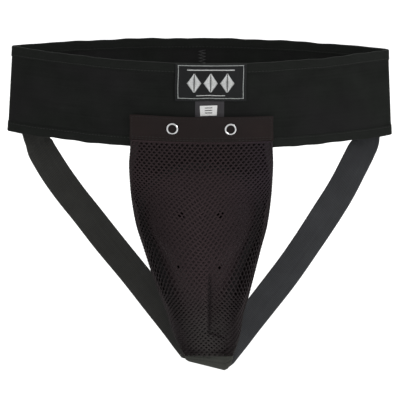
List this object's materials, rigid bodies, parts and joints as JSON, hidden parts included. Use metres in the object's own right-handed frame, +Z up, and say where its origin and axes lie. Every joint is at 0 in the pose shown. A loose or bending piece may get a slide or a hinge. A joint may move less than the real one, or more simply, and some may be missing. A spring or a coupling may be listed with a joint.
{
  "type": "groin protector",
  "caption": "Athletic groin protector: wide elastic waistband, knit pouch with a snap tab, removable hard cup and elastic leg straps.",
  "frame": {"origin": "middle of the waist opening at half the waistband's height, on the line through its two side folds", "axes": "+Z up towards the waistband's top edge, the wearer's front and the cup towards -Y, +X to the right as seen from the front"},
  "size_m": [0.3514, 0.169, 0.288],
  "materials": {
    "waistband_elastic": "woven elastic, matt",
    "waistband_binding": "dense woven edge, matt",
    "thread_black": "polyester thread",
    "label_black": "damask woven label",
    "label_white": "woven label yarn",
    "tag_grey": "satin ribbon",
    "tab_fabric": "folded twill",
    "mesh": "open warp-knit mesh",
    "lining": "brushed tricot",
    "strap_elastic": "ribbed woven elastic",
    "snap_metal": "nickel plated brass",
    "spring_wire": "drawn wire",
    "cup_plastic": "moulded, satin",
    "cup_rubber": "soft moulded edge"
  },
  "bodies": {
    "base": {"waistband_elastic": "waistband_elastic", "waistband_top_binding": "waistband_binding", "waistband_bottom_binding": "waistband_binding", "waistband_join_stitching": "thread_black", "woven_label": "label_black", "woven_label_border": "label_white", "woven_label_motif": "label_white", "label_stitching": "thread_black", "size_tag_backing": "tag_grey", "size_tag": "label_white", "size_tag_bars": "label_black", "pouch_lining": "lining", "side_seam_left": "thread_black", "side_seam_right": "thread_black", "bottom_hem": "tab_fabric", "hem_stitching": "thread_black", "strap_upper_end_left": "strap_elastic", "strap_upper_end_right": "strap_elastic", "strap_lower_end_left": "strap_elastic", "strap_lower_end_right": "strap_elastic", "strap_bar_tacks": "thread_black", "snap_stud_left": "snap_metal", "snap_stud_right": "snap_metal", "snap_stud_ring_left": "snap_metal", "snap_stud_ring_right": "snap_metal"},
    "pouch_front": {"mesh_front": "mesh"},
    "tab": {"snap_tab": "tab_fabric", "tab_stitching": "thread_black", "snap_ring_left": "snap_metal", "snap_ring_right": "snap_metal", "snap_socket_left": "snap_metal", "snap_socket_right": "snap_metal", "snap_spring_left": "spring_wire", "snap_spring_right": "spring_wire"},
    "cup": {"cup_shell": "cup_plastic", "cup_gasket": "cup_rubber"},
    "left_strap": {"leg_strap_left": "strap_elastic"},
    "right_strap": {"leg_strap_right": "strap_elastic"}
  },
  "joints": [
    {"name": "cup_lift", "type": "slide", "parent": "base", "child": "cup", "axis": [0, 0, 1], "range_m": [0, 0.175]},
    {"name": "mouth_open", "type": "hinge", "parent": "base", "child": "pouch_front", "pos_m": [0, -0.0788, -0.23], "axis": [1, 0, 0], "range_deg": [0, 30.5], "stiffness_Nm_per_rad": 1},
    {"name": "tab_peel", "type": "hinge", "parent": "pouch_front", "child": "tab", "pos_m": [0, -0.0803, -0.0332], "axis": [1, 0, 0], "range_deg": [0, 120], "stiffness_Nm_per_rad": 0.01},
    {"name": "left_strap_swing", "type": "hinge", "parent": "base", "child": "left_strap", "pos_m": [-0.151, 0.0082, -0.0515], "axis": [0.5989, -0.3256, -0.7316], "range_deg": [-25, 25], "stiffness_Nm_per_rad": 0.06},
    {"name": "right_strap_swing", "type": "hinge", "parent": "base", "child": "right_strap", "pos_m": [0.1515, 0.0082, -0.0515], "axis": [-0.5366, -0.341, -0.7719], "range_deg": [-25, 25], "stiffness_Nm_per_rad": 0.06}
  ],
  "couplings": [
    {"joint": "mouth_open", "follows": "cup_lift", "rad_per_m": 3}
  ]
}
